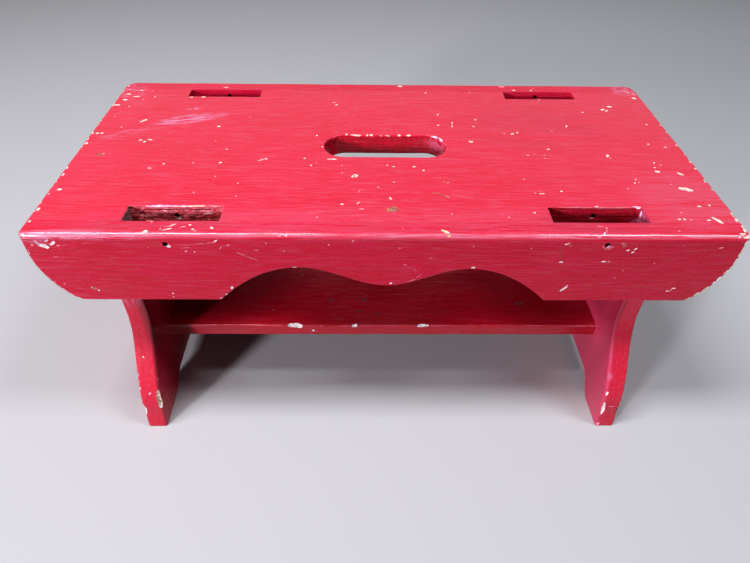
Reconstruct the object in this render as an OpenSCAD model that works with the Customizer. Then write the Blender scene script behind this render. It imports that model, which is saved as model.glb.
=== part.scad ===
// Small painted wooden footstool: a seat board between two scalloped aprons, two ogee leg panels
// and a thin shelf, nailed together, with four pinned sockets and a hand hold in the seat.
// The origin is on the floor under the middle of the seat; the front is towards -Y.

/* [Overall] */
// Length of the seat
seat_l = 420; // [400:2:480]
// Depth over the outer faces of the two aprons
seat_d = 204; // [196:2:260]
// Height of the seat's top above the floor
stool_h = 168; // [156:1:230]

/* [Boards] */
// Thickness of the seat board
seat_t = 15; // [12:0.5:18]
// Thickness of each apron
apron_t = 13; // [12:0.5:18]
// Thickness of each leg panel
leg_t = 14; // [12:0.5:18]
// Thickness of the shelf
shelf_t = 10; // [8:0.5:16]
// Radius of the front apron's upper outer arris
arris_r = 3; // [1:0.5:5]
// Radius of the rear apron's upper outer arris
rear_arris_r = 1; // [0.5:0.5:5]
// Radius of the top's two front corners, seen from above
corner_r = 3; // [2:0.5:12]
// Radius of the top's two rear corners, seen from above
rear_corner_r = 8; // [2:0.5:12]

/* [Aprons] */
// Height of each apron, from the top of the seat to its lower edge
apron_h = 52; // [46:1:60]
// Upright stretch at the top of each apron end
end_flat = 13; // [6:0.5:18]
// How far each apron end draws in at its lower edge
end_run = 18.5; // [12:0.5:28]
// Width of the double arch at the lower edge
arch_span = 204; // [170:2:240]
// Distance between the tops of the two arches
arch_pitch = 103; // [80:1:120]
// Rise of the two arches above the lower edge
arch_h = 26.5; // [18:0.5:32]
// Rise of the dip between the arches above the lower edge
dip_h = 12.5; // [4:0.5:16]

/* [Leg panels] */
// Distance from each end of the seat to the leg's outer face
leg_inset = 36; // [26:1:44]
// Height above the floor where the leg starts to flare
flare_top = 93; // [70:1:100]
// Height above the floor where the flare ends and the toe starts
flare_low = 14; // [6:1:20]
// Reach of the flare beyond the leg's upright edge
flare_out = 27.5; // [12:0.5:36]
// Further reach of the toe at the floor
toe_out = 2.5; // [0:0.5:6]
// Length of each foot on the floor
foot_l = 27; // [20:1:40]
// Height of the hollow between the two feet of a leg
hollow_h = 12; // [6:0.5:24]
// Length of the rounded rise at each end of that hollow
hollow_run = 22; // [8:1:30]

/* [Shelf] */
// Height of the shelf's top above the floor
shelf_h = 58; // [46:1:80]
// Depth of the shelf
shelf_d = 140; // [90:2:170]

/* [Hand hold] */
// Length of the hand hold
hold_l = 85; // [60:1:110]
// Width of the hand hold
hold_w = 30; // [22:1:42]

/* [Sockets] */
// Length of each of the four sockets in the seat
socket_l = 57; // [40:1:66]
// Width of each front socket, from the apron inwards
socket_w = 15; // [10:0.5:20]
// Width of each rear socket, from the apron inwards
rear_socket_w = 12.5; // [10:0.5:20]
// Distance from the leg's inner face to the socket's outer end
socket_gap = 4.5; // [3:0.5:12]
// Diameter of the pin hole across each socket
pin_d = 3.4; // [2.5:0.1:5]
// Depth of a front pin hole's axis below the seat's top
pin_drop = 6.7; // [5:0.1:9]
// Depth of a rear pin hole's axis below the seat's top
rear_pin_drop = 4.8; // [4.5:0.1:9]
// Depth of the pin hole beyond the socket's inner wall
pin_reach = 9; // [4:0.5:16]

/* [Nails] */
// Diameter of a nail's shank
nail_d = 2.2; // [1.6:0.1:2.6]
// Diameter of a nail's head
nail_head_d = 4; // [3.2:0.1:5]
// Length of a nail
nail_l = 35; // [28:1:36]
// Depth of each head under the filled and painted face
nail_set = 1.5; // [1:0.1:2.5]
// Distance between the two nails from an apron into a leg's edge
leg_nail_step = 16; // [12:1:18]
// Distance between the seat's edge nails on each side of the middle
edge_nail_step = 68; // [40:1:70]
// Distance between the nails from the seat into a leg's top
seat_nail_step = 52; // [30:1:56]
// Distance between the nails from a leg into the shelf's end
shelf_nail_step = 45; // [20:1:50]

/* [Hidden] */
paint = [0.74, 0.09, 0.17];
steel = [0.62, 0.62, 0.63];
// Play round a nail in its hole, and the length past a face that every cut runs
nail_play = 0.05;
over = 1;
nail_head_t = 1.2;
nail_tip_l = 3;
// Steps along each curved stretch of an outline
curve_steps = 14;
fine = 48;
// Half sizes and the faces that the pieces share
half_l = seat_l / 2;
half_d = seat_d / 2;
inner_y = half_d - apron_t;
leg_x = half_l - leg_inset;
leg_in_x = leg_x - leg_t;
leg_h = stool_h - seat_t;
apron_z = stool_h - apron_h;
shelf_z = shelf_h - shelf_t;
socket_x = leg_in_x - socket_gap - socket_l / 2;
// The apron's end is an arc that leaves the upright stretch smoothly and ends at the lower edge
end_drop = apron_h - end_flat;
end_r = (end_run * end_run + end_drop * end_drop) / (2 * end_run);
end_turn = asin(end_drop / end_r);

// A smooth step from 0 to 1
function ease(t) = (1 - cos(180 * t)) / 2;
// Height of the double arch above the apron's lower edge
function inner_arch(x) = dip_h + (arch_h - dip_h) * ease(x / (arch_pitch / 2));
function outer_arch(x) = arch_h * (1 - pow((x - arch_pitch / 2) / (arch_span / 2 - arch_pitch / 2), 2));
function arch(x) = x < arch_pitch / 2 ? inner_arch(x) : outer_arch(x);
// Half the width of a leg panel at a height above the floor
function toe_edge(h) = inner_y + flare_out + toe_out * (1 - h / flare_low);
function flare_edge(h) = inner_y + flare_out * ease((flare_top - h) / (flare_top - flare_low));
function leg_edge(h) = h < flare_low ? toe_edge(h) : flare_edge(h);
foot_y = toe_edge(0) - foot_l;

// Mirrored points of half an outline, in the order that closes it
function flip(points) = [for (i = [len(points) - 1:-1:0]) [-points[i][0], points[i][1]]];

// Right half of an apron's outline, from the middle of the double arch to the top
function apron_half() = concat(
    [for (i = [0:2 * curve_steps]) let (x = arch_span / 2 * i / (2 * curve_steps)) [x, arch(x)]],
    [for (i = [curve_steps:-1:0]) let (a = end_turn * i / curve_steps)
        [half_l - end_r * (1 - cos(a)), end_drop - end_r * sin(a)]],
    [[half_l, apron_h]]
);

// Right half of a leg panel's outline, from the middle of the hollow to the top
function leg_half() = concat(
    [for (i = [0:curve_steps]) let (t = i / curve_steps)
        [foot_y - hollow_run * (1 - t), hollow_h * (1 - ease(t))]],
    [[toe_edge(0), 0]],
    [for (i = [0:2 * curve_steps]) let (h = flare_low + (flare_top - flare_low) * i / (2 * curve_steps))
        [leg_edge(h), h]],
    [[inner_y, leg_h]]
);

// A nail that points down, with the top of its head at the origin
module nail(play = 0) {
    translate([0, 0, -nail_head_t - play])
        cylinder(h = nail_head_t + 2 * play, d = nail_head_d + 2 * play, $fn = fine);
    translate([0, 0, nail_tip_l - nail_l])
        cylinder(h = nail_l - nail_tip_l - nail_head_t, d = nail_d + 2 * play, $fn = fine);
    translate([0, 0, -nail_l - play])
        cylinder(h = nail_tip_l + play, d1 = nail_d / 4, d2 = nail_d + 2 * play, $fn = fine);
}

// Nails from the front apron's face into the edge of the seat board and of both legs
module front_nails(play = 0) {
    leg_nail_z = (apron_z + leg_h) / 2;
    for (side = [-1, 1]) {
        for (end = [-1, 1])
            translate([side * (leg_x - leg_t / 2), nail_set - half_d, leg_nail_z + end * leg_nail_step / 2])
                rotate([90, 0, 0]) nail(play);
        translate([side * (half_l - leg_inset / 2), nail_set - half_d, stool_h - seat_t / 2])
            rotate([90, 0, 0]) nail(play);
    }
    for (i = [-1:1])
        translate([i * edge_nail_step, nail_set - half_d, stool_h - seat_t / 2])
            rotate([90, 0, 0]) nail(play);
}

// Nails from the seat's top down into the top edge of both legs
module top_nails(play = 0) {
    for (side = [-1, 1], i = [-1:1])
        translate([side * (leg_x - leg_t / 2), i * seat_nail_step, stool_h - nail_set]) nail(play);
}

// Nails from the right leg's outer face into the end of the shelf
module shelf_end_nails(play = 0) {
    for (i = [-1:1])
        translate([leg_x - nail_set, i * shelf_nail_step, shelf_h - shelf_t / 2])
            rotate([0, 90, 0]) nail(play);
}

// Outline of the whole top, with corners of radius r, as a block from the floor up
module plan_block(r) {
    core_l = seat_l - 2 * r;
    core_d = seat_d - 2 * r;
    linear_extrude(stool_h) {
        square([core_l, seat_d], center = true);
        square([seat_l, core_d], center = true);
        for (x = [-1, 1], y = [-1, 1])
            translate([x * core_l / 2, y * core_d / 2]) circle(r = r, $fn = fine);
    }
}

// Cutter that rounds the upper outer arris of an apron at the front
module arris_cut(r) {
    translate([0, r - half_d, stool_h - r]) rotate([0, 90, 0])
        difference() {
            translate([-r - over, -r - over, -half_l - over])
                cube([r + over, r + over, seat_l + 2 * over]);
            cylinder(h = seat_l + 4 * over, r = r, center = true, $fn = fine);
        }
}

// Pin holes from the front face, across the two front sockets and into the walls behind them
module pin_holes(across, drop) {
    for (side = [-1, 1])
        translate([side * socket_x, -half_d - over, stool_h - drop]) rotate([-90, 0, 0])
            cylinder(h = over + apron_t + across + pin_reach, d = pin_d, $fn = fine);
}

module hand_hold() {
    for (side = [-1, 1])
        translate([side * (hold_l - hold_w) / 2, 0, leg_h - over])
            cylinder(h = seat_t + 2 * over, d = hold_w, $fn = fine);
    translate([-(hold_l - hold_w) / 2, -hold_w / 2, leg_h - over])
        cube([hold_l - hold_w, hold_w, seat_t + 2 * over]);
}

// Notches in the seat board's front edge that the apron closes to make two sockets
module socket_notches(across) {
    for (side = [-1, 1])
        translate([side * socket_x - socket_l / 2, -inner_y - over, leg_h - over])
            cube([socket_l, across + over, seat_t + 2 * over]);
}

module seat_board() {
    color(paint) difference() {
        translate([-half_l, -inner_y, leg_h]) cube([seat_l, 2 * inner_y, seat_t]);
        hand_hold();
        socket_notches(socket_w);
        pin_holes(socket_w, pin_drop);
        mirror([0, 1, 0]) {
            socket_notches(rear_socket_w);
            pin_holes(rear_socket_w, rear_pin_drop);
        }
        for (back = [0, 1]) mirror([0, back, 0]) front_nails(nail_play);
        top_nails(nail_play);
    }
}

// An apron in the front one's place
module apron(corner, arris, across, drop) {
    difference() {
        intersection() {
            translate([0, -inner_y, apron_z]) rotate([90, 0, 0])
                linear_extrude(apron_t) polygon(concat(apron_half(), flip(apron_half())));
            plan_block(corner);
        }
        arris_cut(arris);
        pin_holes(across, drop);
        front_nails(nail_play);
    }
}

module front_apron() {
    color(paint) apron(corner_r, arris_r, socket_w, pin_drop);
}

module rear_apron() {
    color(paint) mirror([0, 1, 0]) apron(rear_corner_r, rear_arris_r, rear_socket_w, rear_pin_drop);
}

module right_leg() {
    color(paint) difference() {
        translate([leg_in_x, 0, 0]) rotate([90, 0, 90])
            linear_extrude(leg_t) polygon(concat(leg_half(), flip(leg_half())));
        for (back = [0, 1]) mirror([0, back, 0]) front_nails(nail_play);
        top_nails(nail_play);
        shelf_end_nails(nail_play);
    }
}

module left_leg() {
    mirror([1, 0, 0]) right_leg();
}

module shelf() {
    color(paint) difference() {
        translate([-leg_in_x, -shelf_d / 2, shelf_z]) cube([2 * leg_in_x, shelf_d, shelf_t]);
        for (side = [0, 1]) mirror([side, 0, 0]) shelf_end_nails(nail_play);
    }
}

module front_apron_nails() {
    color(steel) front_nails();
}

module rear_apron_nails() {
    mirror([0, 1, 0]) front_apron_nails();
}

module seat_nails() {
    color(steel) top_nails();
}

module right_shelf_nails() {
    color(steel) shelf_end_nails();
}

module left_shelf_nails() {
    mirror([1, 0, 0]) right_shelf_nails();
}

seat_board();
front_apron();
rear_apron();
left_leg();
right_leg();
shelf();
front_apron_nails();
rear_apron_nails();
seat_nails();
left_shelf_nails();
right_shelf_nails();
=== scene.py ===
import bpy
import random
from math import atan2, degrees, pi, radians
from mathutils import Matrix, Vector
from mathutils.geometry import interpolate_bezier


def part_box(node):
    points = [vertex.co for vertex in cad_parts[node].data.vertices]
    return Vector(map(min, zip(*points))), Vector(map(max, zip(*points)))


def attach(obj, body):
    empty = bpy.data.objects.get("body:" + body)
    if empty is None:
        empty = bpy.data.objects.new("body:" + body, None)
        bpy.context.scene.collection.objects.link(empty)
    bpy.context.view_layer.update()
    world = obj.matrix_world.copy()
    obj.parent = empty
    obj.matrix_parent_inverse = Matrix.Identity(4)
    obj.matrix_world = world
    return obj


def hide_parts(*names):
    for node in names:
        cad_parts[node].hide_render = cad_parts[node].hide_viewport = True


print("stool: loading the packed model")
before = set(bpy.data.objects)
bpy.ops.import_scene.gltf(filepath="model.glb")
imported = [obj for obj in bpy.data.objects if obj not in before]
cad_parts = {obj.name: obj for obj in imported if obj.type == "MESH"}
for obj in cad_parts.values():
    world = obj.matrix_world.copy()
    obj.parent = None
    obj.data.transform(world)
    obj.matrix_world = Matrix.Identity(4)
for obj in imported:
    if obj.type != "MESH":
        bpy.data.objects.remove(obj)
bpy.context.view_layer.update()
mm = 0.001


# 0 to 255 as a picture shows it, to the linear value that a shader wants, by the sRGB curve
def tint(red, green, blue):
    lin = [c / 255 / 12.92 if c <= 10 else ((c / 255 + 0.055) / 1.055) ** 2.4 for c in (red, green, blue)]
    return (*lin, 1)


# millimetres to a place in metres
def at(x, y, z):
    return Vector((x, y, z)) * mm


# a node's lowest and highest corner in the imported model, in millimetres
def corners(node):
    return [[round(v / mm, 2) for v in corner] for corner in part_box(node)]


# the faces that the boards share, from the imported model
seatLow, seatTop = corners("seat_board")[0][2], corners("seat_board")[1][2]
seam = corners("seat_board")[1][1]
frontFace, apronLow = corners("front_apron")[0][1:]
legInner, legOuter = corners("right_leg")[0][0], corners("right_leg")[1][0]
shelfLow, shelfTop = corners("shelf")[0][2], corners("shelf")[1][2]


# camera: place in mm, lens and film in mm, and the way it looks in degrees
camera = {"place": (-11.6, -354.2, 365.7), "lens": 27.02, "film": 36, "nearest": 0.01,
          "down": 42.78, "heading": -1.10, "roll": 0.91}

lens = bpy.data.cameras.new("camera")
lens.lens = camera["lens"]
lens.sensor_width = camera["film"]
lens.clip_start = camera["nearest"]
viewer = bpy.data.objects.new("camera", lens)
viewer.matrix_world = (Matrix.Translation(at(*camera["place"]))
                       @ Matrix.Rotation(radians(camera["heading"]), 4, "Z")
                       @ Matrix.Rotation(radians(90 - camera["down"]), 4, "X")
                       @ Matrix.Rotation(radians(camera["roll"]), 4, "Z"))
bpy.context.scene.collection.objects.link(viewer)
bpy.context.scene.camera = viewer

# direction towards the lamp, how far off, how wide and deep, and its share of a plain daylight level
studio = {
    "key": {"towards": (-0.62, -0.745, 0.25), "far": 1.75, "size": (0.22, 0.22), "level": 0.75,
            "warm": (1, 0.95, 1.08)},
    "leftAbove": {"towards": (-0.50, -0.17, 1.27), "far": 1.37, "size": (0.75, 0.30), "level": 0.89,
                  "warm": (0.98, 0.99, 1.08)},
    "rightAbove": {"towards": (0.72, -0.17, 1.27), "far": 1.47, "size": (0.55, 0.30), "level": 0.42,
                   "warm": (0.94, 1, 1.12)},
}
aim = Vector((0, 0, 0.12))
for name, lamp in studio.items():
    light = bpy.data.lights.new(name, "AREA")
    light.shape = "RECTANGLE"
    light.size, light.size_y = lamp["size"]
    light.energy = lamp["level"] * (pi * lamp["far"]) ** 2
    light.color = lamp["warm"]
    holder = bpy.data.objects.new(name, light)
    way = Vector(lamp["towards"]).normalized()
    side = Vector((0, 1, 0)).cross(way).normalized()
    holder.matrix_world = (Matrix.Translation(way * lamp["far"] + aim)
                           @ Matrix((side, way.cross(side), way)).transposed().to_4x4())
    bpy.context.scene.collection.objects.link(holder)
bpy.context.scene.view_settings.view_transform = "Standard"


# shader maths as plain expressions: a wire wraps a socket, and adding or multiplying it adds the node
class Wire:
    def __init__(self, tree, socket=None):
        self.tree, self.socket = tree, socket

    # any node: its settings first, then what its sockets get
    def add(self, kind, settings=None, sockets=None, out=0):
        node = self.tree.nodes.new("ShaderNode" + kind)
        for name, value in (settings or {}).items():
            setattr(node, name, value)
        for name, value in (sockets or {}).items():
            if isinstance(value, Wire):
                self.tree.links.new(value.socket, node.inputs[name])
            else:
                node.inputs[name].default_value = value
        return Wire(self.tree, node.outputs[out])

    def maths(self, operation, *values):
        return self.add("Math", {"operation": operation}, dict(enumerate(values)))

    def __add__(self, other):
        return self.maths("ADD", self, other)

    def __sub__(self, other):
        return self.maths("SUBTRACT", self, other)

    def __rsub__(self, other):
        return self.maths("SUBTRACT", other, self)

    def __mul__(self, other):
        return self.maths("MULTIPLY", self, other)

    __radd__, __rmul__ = __add__, __mul__

    # 0 below low, 1 above high, smooth between; low above high turns it round
    def step(self, low, high):
        return self.add("MapRange", {"interpolation_type": "SMOOTHSTEP"},
                        {"Value": self, "From Min": low, "From Max": high})

    # this value picks between two colours
    def pick(self, off, on):
        return self.add("Mix", {"data_type": "RGBA"}, {0: self, 6: off, 7: on}, out=2)

    # noise stretched by a number of waves per metre along each axis
    def noise(self, waves, detail=2, rough=0.5, shift=(0, 0, 0)):
        stretched = self.add("Mapping", {}, {"Vector": self, "Scale": waves, "Location": shift})
        return self.add("TexNoise", {},
                        {"Vector": stretched, "Scale": 1, "Detail": detail, "Roughness": rough})

    # 0 in the middle of an ellipsoid, 1 at its edge
    def reach(self, middle, size, turn=0):
        local = self.add("Mapping", {"vector_type": "TEXTURE"},
                         {"Vector": self, "Location": at(*middle), "Scale": at(*size),
                          "Rotation": (0, 0, radians(turn))})
        return self.add("VectorMath", {"operation": "LENGTH"}, {0: local}, out=1)


# a new material with its tree, its shader and the object's own coordinates
def newMaterial(name):
    material = bpy.data.materials.new(name)
    material.use_nodes = True
    tree = material.node_tree
    return material, tree, tree.nodes["Principled BSDF"], Wire(tree).add("TexCoord", out=3)


def feed(tree, shader, **wires):
    for socket, wire in wires.items():
        tree.links.new(wire.socket, shader.inputs[socket.replace("_", " ")])


print("stool: floor and room")
# the floor shows pale, and sends back no more light onto the stool than a dull grey floor does
floorLook = {"pale": tint(192, 191, 189), "bounce": tint(68, 63, 61), "wide": 12, "rough": 0.9, "shine": 0.1}


# 1 for what the camera sees by itself, in a mirror or through glass
def inView(start):
    rays = start.add("LightPath")
    outputs = rays.socket.node.outputs
    seen = rays.maths("MAXIMUM", rays, Wire(start.tree, outputs["Is Glossy Ray"]))
    return seen.maths("MAXIMUM", seen, Wire(start.tree, outputs["Is Transmission Ray"]))


bpy.ops.object.select_all(action="DESELECT")
bpy.ops.mesh.primitive_plane_add(size=floorLook["wide"])
floor = bpy.context.object
floor.name = "floor"
material, tree, shader, place = newMaterial("paleFloor")
feed(tree, shader, Base_Color=inView(place).pick(floorLook["bounce"], floorLook["pale"]))
shader.inputs["Roughness"].default_value = floorLook["rough"]
shader.inputs["Specular IOR Level"].default_value = floorLook["shine"]
floor.data.materials.append(material)

# the room shows as pale as the floor and lights the stool only dimly
room = {"pale": tint(190, 190, 192), "dim": tint(58, 60, 66)}
world = bpy.data.worlds.new("room")
bpy.context.scene.world = world
world.use_nodes = True
sky = Wire(world.node_tree)
backdrop = world.node_tree.nodes["Background"]
world.node_tree.links.new(inView(sky).pick(room["dim"], room["pale"]).socket, backdrop.inputs["Color"])
backdrop.inputs["Strength"].default_value = 1

# brushed gloss paint: streaks of tone, bristle lines, specks, rubbed arrises and worn places, with painted
# highlights, painted reflections and painted shade laid in the same way
paintLook = {
    "deep": tint(211, 13, 45), "full": tint(221, 34, 68), "hair": tint(220, 107, 131),
    # shade is a painted shadow tone and violet a painted reflection; faded serves for worn paint and for
    # painted sheen, rubbed for a worn arris and a painted highlight
    "fadedAndSheen": tint(217, 133, 167), "shade": tint(88, 3, 12), "dull": tint(174, 37, 62),
    "violetSheen": tint(214, 96, 140), "rubbedSheen": tint(222, 144, 167), "speck": tint(222, 176, 181),
    "shine": 0.40, "rough": 0.25, "ridge": 0.00022, "coatRough": 0.08,
    # how long and how wide each kind of stroke is, in mm
    "broad": (110, 9), "grain": (80, 2.6), "bristle": (42, 0.95), "hairline": (22, 0.8), "rubbing": (38, 1.1),
    # how far the strokes wander in metres, then their waves, the dust, the clouds and the specks per metre
    "wander": 0.009, "bend": 9, "dust": 620, "cloud": 22, "cells": 110,
    # how much each counts for the tone, and what is taken off to bring their middle to a half
    "tone": {"broad": 0.3, "grain": 0.35, "bristle": 1.6, "dust": 1.4, "cloudy": 0.6, "less": 1.63},
    # how much each stands up
    "relief": {"grain": 0.25, "bristle": 0.8, "hair": 0.1, "dust": 0.15},
    # how far inside the arris, in mm, its rubbed band and its pale core, which also make a painted highlight,
    # begin and are whole
    "band": (3.6, 2.4), "core": (2.9, 2.4),
}


# the places are worn paint, painted sheen and painted shade: each is its middle, its size, its turn, how pale
# it goes, its tone and its strokes a rubbed arris, partly worn and partly a painted highlight, is where z
# less y passes a sum, with how much its band, its core and its gloss show
def makePaint(name, along, across, wearShadeAndSheen=(), rubAndSheen=None, specks=1.0, streaky=0.26, ridge=1.0, deep=None,
              full=None, shine=None):
    look = paintLook
    material, tree, shader, place = newMaterial(name)
    axis = Vector((1, 0, 0)) if along == "x" else Vector((0, 0, 1))
    side = Vector((1, 1, 1)) - axis

    # a stroke's size in mm to waves per metre
    def stroke(long, wide):
        return axis * (1000 / long) + side * (1000 / (wide * across))

    drift = place.noise((look["bend"],) * 3, 1, shift=(0.4, 0.1, 0.8))
    drift = Wire(tree, drift.socket.node.outputs["Color"])
    bent = place.add("VectorMath", {"operation": "MULTIPLY_ADD"},
                     {0: drift, 1: side * look["wander"], 2: place})
    broad = bent.noise(stroke(*look["broad"]), 2)
    grain = bent.noise(stroke(*look["grain"]), 3, 0.6, (0.3, 0.1, 0.2))
    bristle = bent.noise(stroke(*look["bristle"]), 2, 0.6, (0.7, 0.4, 0.9))
    hair = bent.noise(stroke(*look["hairline"]), 1, 0.5, (0.2, 0.9, 0.5)).step(0.52, 0.70)
    dust = place.noise((look["dust"],) * 3, 1, shift=(0.6, 0.2, 0.1))
    cloudy = place.noise((look["cloud"],) * 3, 2)
    tone = look["tone"]
    shade = (broad * tone["broad"] + grain * tone["grain"] + bristle * tone["bristle"] + dust * tone["dust"]
             + cloudy * tone["cloudy"] - tone["less"])
    colour = shade.step(0.0, 1.0).pick(deep or look["deep"], full or look["full"])
    colour = (hair * streaky).pick(colour, look["hair"])
    # each place lays its tone in streaks: worn paint, painted sheen and painted shade alike
    for middle, size, turn, pale, patchTone, (long, wide, lean, cover) in wearShadeAndSheen:
        edge = place.reach(middle, size, turn)
        slanted = place.add("Mapping", {}, {"Vector": place, "Rotation": (0, 0, radians(-lean))})
        streaks = slanted.noise(stroke(long, wide), 3, 0.6, (0.15, 0.35, 0.55))
        mask = streaks.step(cover - 0.05, cover + 0.05) * edge.step(1.0, 0.5) * pale
        colour = mask.pick(colour, look[patchTone])
    # the rubbed arris goes paler in a streaky band and core, partly worn paint and partly a painted
    # highlight, with a gloss coat on the band
    if rubAndSheen:
        y, z = (place.add("SeparateXYZ", {}, {0: place}, out=n) for n in (1, 2))
        reach = z - y
        band, core = (reach.step((rubAndSheen["sum"] - begins) * mm, (rubAndSheen["sum"] - whole) * mm)
                      for begins, whole in (look["band"], look["core"]))
        streaks = bent.noise(stroke(*look["rubbing"]), 3, 0.6, (0.5, 0.2, 0.7))
        colour = (band * streaks.step(0.34, 0.66) * rubAndSheen["pale"]).pick(colour, look["rubbedSheen"])
        colour = (core * streaks.step(0.40, 0.56) * rubAndSheen["core"]).pick(colour, look["rubbedSheen"])
        feed(tree, shader, Coat_Weight=band * rubAndSheen["coat"])
        shader.inputs["Coat Roughness"].default_value = look["coatRough"]
    # specks of about a millimetre, in some of the cells only
    cells = place.add("TexVoronoi", {}, {"Vector": place, "Scale": look["cells"]})
    chance = place.add("SeparateColor", {}, {0: Wire(tree, cells.socket.node.outputs["Color"])})
    colour = (cells.step(0.075, 0.04) * chance.step(0.80, 0.84) * specks).pick(colour, look["speck"])
    high = look["relief"]
    ridges = grain * high["grain"] + bristle * high["bristle"] + hair * high["hair"] + dust * high["dust"]
    bump = place.add("Bump", {}, {"Height": ridges, "Distance": look["ridge"] * ridge, "Strength": 1.0})
    feed(tree, shader, Base_Color=colour, Normal=bump,
         Roughness=grain * 0.14 + cloudy * 0.12 + (look["rough"] - 0.13))
    shader.inputs["Specular IOR Level"].default_value = look["shine"] if shine is None else shine
    return material


# what a chip or a dent lays bare: its two tones, its grain in waves per metre and its roughness; a few stand
# for painted light or shade instead, as said beside them
bareLook = {
    "cream": ("creamPrimer", (218, 184, 170), (240, 230, 216), (420, 420, 420), 0.6),
    "pink": ("pinkUndercoat", (216, 84, 102), (234, 170, 180), (380, 380, 380), 0.5),
    "white": ("whitePrimer", (250, 236, 234), (255, 252, 250), (420, 420, 420), 0.6),
    # rose is undercoat on the front's chips and a painted highlight along the left end and on the legs' nicks
    "rose": ("roseUndercoatAndSheen", (236, 100, 126), (252, 188, 206), (380, 380, 380), 0.5),
    # near black: painted shade deep inside the pin holes
    "hole": ("pinHole", (30, 8, 8), (66, 18, 16), (700, 700, 700), 0.9),
    "wood": ("bareWood", (188, 110, 84), (232, 170, 132), (60, 700, 160), 0.7),
    "brown": ("dirtyDent", (124, 56, 44), (208, 112, 84), (500, 500, 500), 0.7),
    # bare leg wood, paler than the raw edge so that it shows bright on the dimly lit legs: painted light
    "beige": ("bareLegWood", (234, 206, 174), (255, 242, 220), (300, 300, 90), 0.7),
    # bare wood at the foot of the chiselled socket, paler and pinker than the bare wood above so that it
    # looks lit there: painted light
    "orange": ("paleWood", (255, 118, 108), (255, 182, 168), (60, 700, 160), 0.5),
    "raw": ("rawEdge", (214, 176, 136), (242, 216, 182), (260, 260, 60), 0.7),
    "grime": ("grimyCut", (92, 46, 52), (158, 104, 106), (460, 460, 460), 0.7),
    "mauve": ("mauveSheen", (176, 48, 84), (216, 104, 142), (300, 300, 300), 0.4),
    # lilac stands for painted highlights: on rims, arrises, nicks and the lips of pin holes
    "lilac": ("lilacRim", (214, 150, 186), (248, 222, 236), (420, 420, 420), 0.4),
    "smudge": ("shelfSmudge", (92, 20, 28), (136, 56, 62), (460, 460, 460), 0.6),
    # a painted shadow line, under the chipped rim of the front left socket
    "dark": ("darkGrooveShade", (78, 6, 18), (128, 12, 32), (300, 300, 300), 0.4),
}
bareGrain = {"ridge": 0.0003, "strength": 0.6}


def makeBare(name, low, high, waves, rough):
    material, tree, shader, place = newMaterial(name)
    mottled = place.noise(waves, 3, 0.6)
    bump = place.add("Bump", {}, {"Height": mottled, "Distance": bareGrain["ridge"],
                                  "Strength": bareGrain["strength"]})
    feed(tree, shader, Base_Color=mottled.step(0.3, 0.7).pick(tint(*low), tint(*high)), Normal=bump)
    shader.inputs["Roughness"].default_value = rough
    return material


print("stool: materials")
# the places of worn paint, darker tone, painted sheen and painted shade: each is its middle, size, turn, how
# much, which tone, and its strokes' length, width, lean and cover
topWearAndSheen = [
    # the streaky smear at the left rear is worn paint and a painted highlight together
    ((-143.5, 38.4, 168), (32, 8.5, 4), 18, 0.92, "fadedAndSheen", (15, 1.2, 7, 0.50)),
    ((-144.7, 55, 168), (9.5, 2.6, 4), 15, 0.60, "fadedAndSheen", (3.5, 1.6, 10, 0.48)),
    ((-186, 15, 168), (24, 6, 4), 28, 0.40, "fadedAndSheen", (12, 1.2, 12, 0.54)),
    ((-200, 86, 168), (13, 20, 6), 10, 0.30, "fadedAndSheen", (7, 2.5, 0, 0.50)),
    ((200, 92, 168), (14, 12, 6), -30, 0.45, "fadedAndSheen", (6, 2.5, 0, 0.50)),
    # the faint pale band along the front edge and the patch at the right front are painted sheen as well as
    # wear
    ((0, -92, 168), (228, 22, 9), 0, 0.10, "fadedAndSheen", (30, 2.0, 0, 0.45)),
    ((186, -66, 168), (40, 38, 6), 0, 0.12, "fadedAndSheen", (26, 2.2, 0, 0.45)),
    # the two along the left end of the front arris are painted highlights
    ((-200, -102, 165), (13, 6, 7), 0, 0.40, "fadedAndSheen", (8, 1.4, 0, 0.50)),
    ((-168, -101, 167), (52, 5, 5), 0, 0.40, "fadedAndSheen", (24, 1.3, 0, 0.45)),
    ((124, -88, 168), (46, 15, 6), 0, 0.42, "dull", (40, 4.0, 0, 0.44)),
    ((112, 30, 168), (64, 46, 6), 0, 0.20, "dull", (50, 8.0, 0, 0.46)),
    ((-134, -90, 168), (60, 12, 6), 0, 0.22, "dull", (40, 4.0, 0, 0.46)),
]
legShadeAndSheen = [
    # painted shadow on the inner faces of the legs under the seat, and a painted reflection (violet) on the
    # right leg's inner face
    ((-160, -56, 96), (8, 70, 58), 0, 0.66, "shade", (60, 30, 0, 0.30)),
    ((160, -50, 0), (3, 160, 150), 0, 0.34, "violetSheen", (90, 40, 0, 0.30)),
    ((160, -66, 104), (4, 60, 52), 0, 0.50, "shade", (60, 30, 0, 0.30)),
    # the two faded spots, at the right leg's inner arris and on the left leg's front, are painted sheen as
    # well as wear
    ((161, -110, 47), (4, 5, 5), 0, 0.40, "fadedAndSheen", (20, 8, 0, 0.30)),
    ((-168, -92, 106), (10, 9, 14), 0, 0.30, "fadedAndSheen", (20, 4, 0, 0.40)),
]
shelfPaintedShade = [
    # painted shadow: the shelf's top goes darker towards the rear and towards both legs, under the seat
    ((0, 84, 58), (250, 128, 30), 0, 0.70, "shade", (60, 30, 0, 0.30)),
    ((-150, -8, 58), (110, 80, 30), 0, 0.84, "shade", (60, 30, 0, 0.30)),
    ((156, -14, 58), (110, 76, 30), 0, 0.50, "shade", (60, 30, 0, 0.30)),
]
# a painted highlight on the right end of the hand hold
holdSheen = [((36, 5, 163), (14, 14, 14), 0, 0.34, "fadedAndSheen", (5, 3, 0, 0.46))]
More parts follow.
